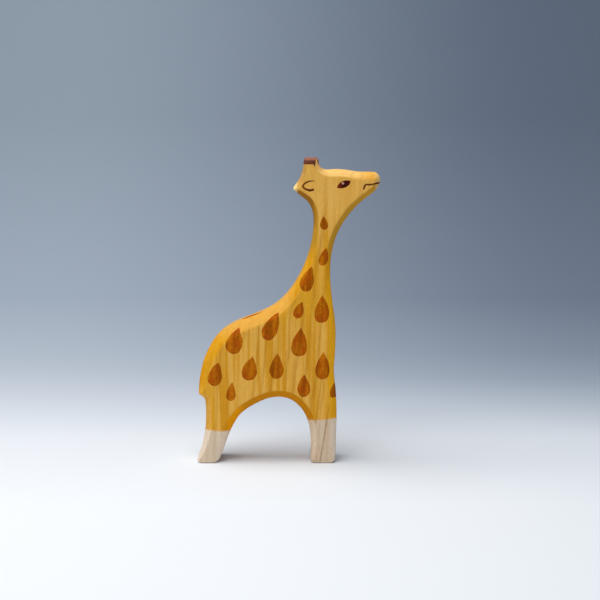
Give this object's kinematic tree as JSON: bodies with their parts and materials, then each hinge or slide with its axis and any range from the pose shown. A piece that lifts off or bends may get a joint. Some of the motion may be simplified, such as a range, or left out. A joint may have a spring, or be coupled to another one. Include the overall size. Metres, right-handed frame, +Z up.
{
  "type": "carved giraffe figure",
  "caption": "Flat carved wooden giraffe standing in profile, stained yellow with painted brown drops, face and horn tips, bare wood feet.",
  "frame": {"origin": "on the ground below the middle of the figure's length and thickness", "axes": "+X the way the head looks, +Z up, +Y across the board to the giraffe's left side"},
  "size_m": [0.1076, 0.0246, 0.1802],
  "materials": {
    "carved_wood": "pale wood with a transparent yellow stain, stronger on the rounded edges, and bare wood feet",
    "drop_stain": "brown stain brushed on the wood, with the grain showing through",
    "horn_stain": "dark brown stain over the tips of the horns",
    "line_paint": "thin matt brown painted line",
    "eye_paint": "dark brown satin paint",
    "glint_paint": "pale painted dot"
  },
  "bodies": {
    "root": {"carved_body": "carved_wood", "horn_cap": "horn_stain", "mouth_line": "line_paint", "edge_drop_breast": "drop_stain", "edge_drop_forearm": "drop_stain", "edge_drop_spine": "drop_stain", "edge_drop_tail_root": "drop_stain", "right_eye": "eye_paint", "right_eye_glint": "glint_paint", "right_ear_line": "line_paint", "right_drop_brisket": "drop_stain", "left_eye": "eye_paint", "left_eye_glint": "glint_paint", "left_ear_line": "line_paint", "left_drop_brisket": "drop_stain", "right_drop_throat": "drop_stain", "right_drop_neck_top": "drop_stain", "right_drop_neck_back": "drop_stain", "right_drop_neck_front": "drop_stain", "right_drop_withers": "drop_stain", "right_drop_back": "drop_stain", "right_drop_shoulder": "drop_stain", "right_drop_croup": "drop_stain", "right_drop_chest": "drop_stain", "right_drop_ribs": "drop_stain", "right_drop_flank": "drop_stain", "right_drop_rump": "drop_stain", "right_drop_elbow": "drop_stain", "right_drop_thigh": "drop_stain", "left_drop_throat": "drop_stain", "left_drop_neck_top": "drop_stain", "left_drop_neck_back": "drop_stain", "left_drop_neck_front": "drop_stain", "left_drop_withers": "drop_stain", "left_drop_back": "drop_stain", "left_drop_shoulder": "drop_stain", "left_drop_croup": "drop_stain", "left_drop_chest": "drop_stain", "left_drop_ribs": "drop_stain", "left_drop_flank": "drop_stain", "left_drop_rump": "drop_stain", "left_drop_elbow": "drop_stain", "left_drop_thigh": "drop_stain"}
  },
  "joints": []
}
